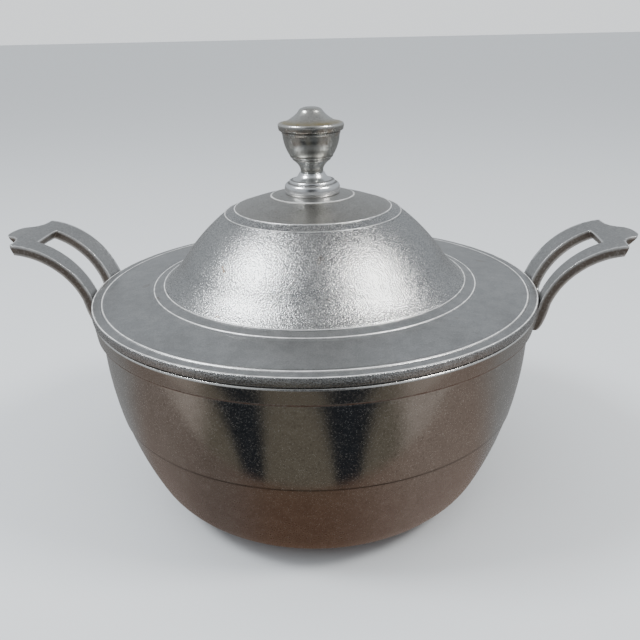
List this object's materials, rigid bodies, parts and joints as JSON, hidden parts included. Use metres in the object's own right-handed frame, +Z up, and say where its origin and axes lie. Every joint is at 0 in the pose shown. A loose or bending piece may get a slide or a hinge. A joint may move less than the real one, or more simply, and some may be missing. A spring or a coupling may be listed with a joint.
{
  "type": "covered serving bowl",
  "caption": "Round cast metal serving bowl with slotted strap handles, a bell-shaped lift-off lid and an urn-shaped finial on a turned pedestal.",
  "frame": {"origin": "on the table plane, under the middle of the bowl's foot ring", "axes": "+Z up along the bowl's axis, +X towards the right handle, -Y towards the front"},
  "size_m": [0.3556, 0.2512, 0.2266],
  "materials": {
    "cast_bowl": "satin cast with a fine speckle, semi-polished, tarnished in the groove",
    "cast_handle": "satin cast, worn bright on the edges",
    "cast_lid": "fine cast grain on the dome, smooth satin flange, bright turned rings",
    "polished_collar": "polished",
    "aged_urn": "satin with a warm grey patina",
    "fastener_steel": "bright machined"
  },
  "bodies": {
    "bowl": {"bowl": "cast_bowl", "left_handle": "cast_handle", "right_handle": "cast_handle", "handle_screws": "fastener_steel"},
    "lid": {"lid": "cast_lid", "finial_pedestal": "polished_collar", "finial_urn": "aged_urn", "finial_screw": "fastener_steel", "finial_washer": "fastener_steel"}
  },
  "joints": [
    {"name": "lid_lift", "type": "slide", "parent": "bowl", "child": "lid", "axis": [0, 0, 1], "range_m": [0, 0.15]}
  ]
}
